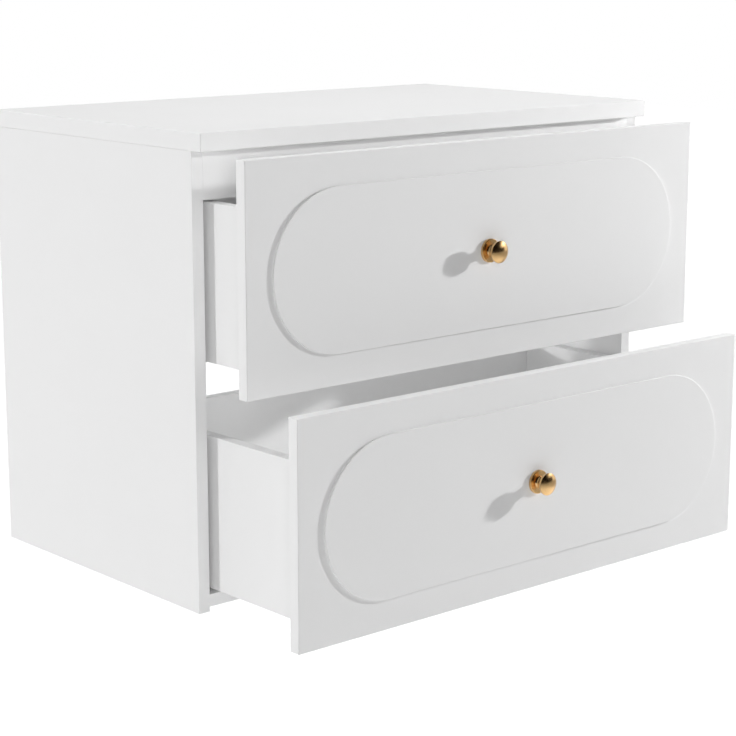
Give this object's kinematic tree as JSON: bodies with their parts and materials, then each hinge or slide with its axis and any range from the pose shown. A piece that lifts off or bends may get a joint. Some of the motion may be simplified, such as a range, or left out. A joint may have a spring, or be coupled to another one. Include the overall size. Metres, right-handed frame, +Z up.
{
  "type": "floating vanity cabinet",
  "caption": "White wall-hung vanity cabinet with a plain top slab, open back, and full-width drawers with raised round-ended panels and brass knobs on concealed full-extension runners.",
  "frame": {"origin": "on the wall face, at the centre of the four wall-screw holes, which is also the middle of the back", "axes": "+X to the viewer's right along the width, +Y into the wall, the drawers open towards -Y, +Z up"},
  "size_m": [0.762, 0.6475, 0.58],
  "materials": {
    "white_paint": "satin white paint on board",
    "brass": "polished brass",
    "zinc_steel": "bright zinc plate",
    "clip_plastic": "moulded grey"
  },
  "bodies": {
    "carcass": {"top_slab": "white_paint", "left_side_panel": "white_paint", "right_side_panel": "white_paint", "bottom_panel": "white_paint", "front_top_rail": "white_paint", "upper_back_rail": "white_paint", "lower_back_rail": "white_paint", "slab_brackets": "zinc_steel", "bracket_screws": "zinc_steel", "upper_left_runner": "zinc_steel", "upper_right_runner": "zinc_steel", "lower_left_runner": "zinc_steel", "lower_right_runner": "zinc_steel", "runner_screws": "zinc_steel"},
    "upper_drawer": {"upper_front": "white_paint", "upper_raised_panel": "white_paint", "upper_backplate": "brass", "upper_knob": "brass", "upper_knob_screw": "zinc_steel", "upper_left_wall": "white_paint", "upper_right_wall": "white_paint", "upper_inner_front": "white_paint", "upper_back_wall": "white_paint", "upper_floor": "white_paint", "upper_front_screws": "zinc_steel", "upper_left_rail": "zinc_steel", "upper_right_rail": "zinc_steel", "upper_clips": "clip_plastic"},
    "upper_left_member": {"upper_left_middle": "zinc_steel"},
    "upper_right_member": {"upper_right_middle": "zinc_steel"},
    "lower_drawer": {"lower_front": "white_paint", "lower_raised_panel": "white_paint", "lower_backplate": "brass", "lower_knob": "brass", "lower_knob_screw": "zinc_steel", "lower_left_wall": "white_paint", "lower_right_wall": "white_paint", "lower_inner_front": "white_paint", "lower_back_wall": "white_paint", "lower_floor": "white_paint", "lower_front_screws": "zinc_steel", "lower_left_rail": "zinc_steel", "lower_right_rail": "zinc_steel", "lower_clips": "clip_plastic"},
    "lower_left_member": {"lower_left_middle": "zinc_steel"},
    "lower_right_member": {"lower_right_middle": "zinc_steel"}
  },
  "joints": [
    {"name": "upper_drawer_slide", "type": "slide", "parent": "carcass", "child": "upper_drawer", "axis": [0, -1, 0], "range_m": [-0.082, 0.258]},
    {"name": "upper_left_member_slide", "type": "slide", "parent": "carcass", "child": "upper_left_member", "axis": [0, -1, 0], "range_m": [-0.041, 0.129]},
    {"name": "upper_right_member_slide", "type": "slide", "parent": "carcass", "child": "upper_right_member", "axis": [0, -1, 0], "range_m": [-0.041, 0.129]},
    {"name": "lower_drawer_slide", "type": "slide", "parent": "carcass", "child": "lower_drawer", "axis": [0, -1, 0], "range_m": [-0.172, 0.168]},
    {"name": "lower_left_member_slide", "type": "slide", "parent": "carcass", "child": "lower_left_member", "axis": [0, -1, 0], "range_m": [-0.086, 0.084]},
    {"name": "lower_right_member_slide", "type": "slide", "parent": "carcass", "child": "lower_right_member", "axis": [0, -1, 0], "range_m": [-0.086, 0.084]}
  ],
  "couplings": [
    {"joint": "upper_left_member_slide", "follows": "upper_drawer_slide", "ratio": 0.5},
    {"joint": "upper_right_member_slide", "follows": "upper_drawer_slide", "ratio": 0.5},
    {"joint": "lower_left_member_slide", "follows": "lower_drawer_slide", "ratio": 0.5},
    {"joint": "lower_right_member_slide", "follows": "lower_drawer_slide", "ratio": 0.5}
  ]
}
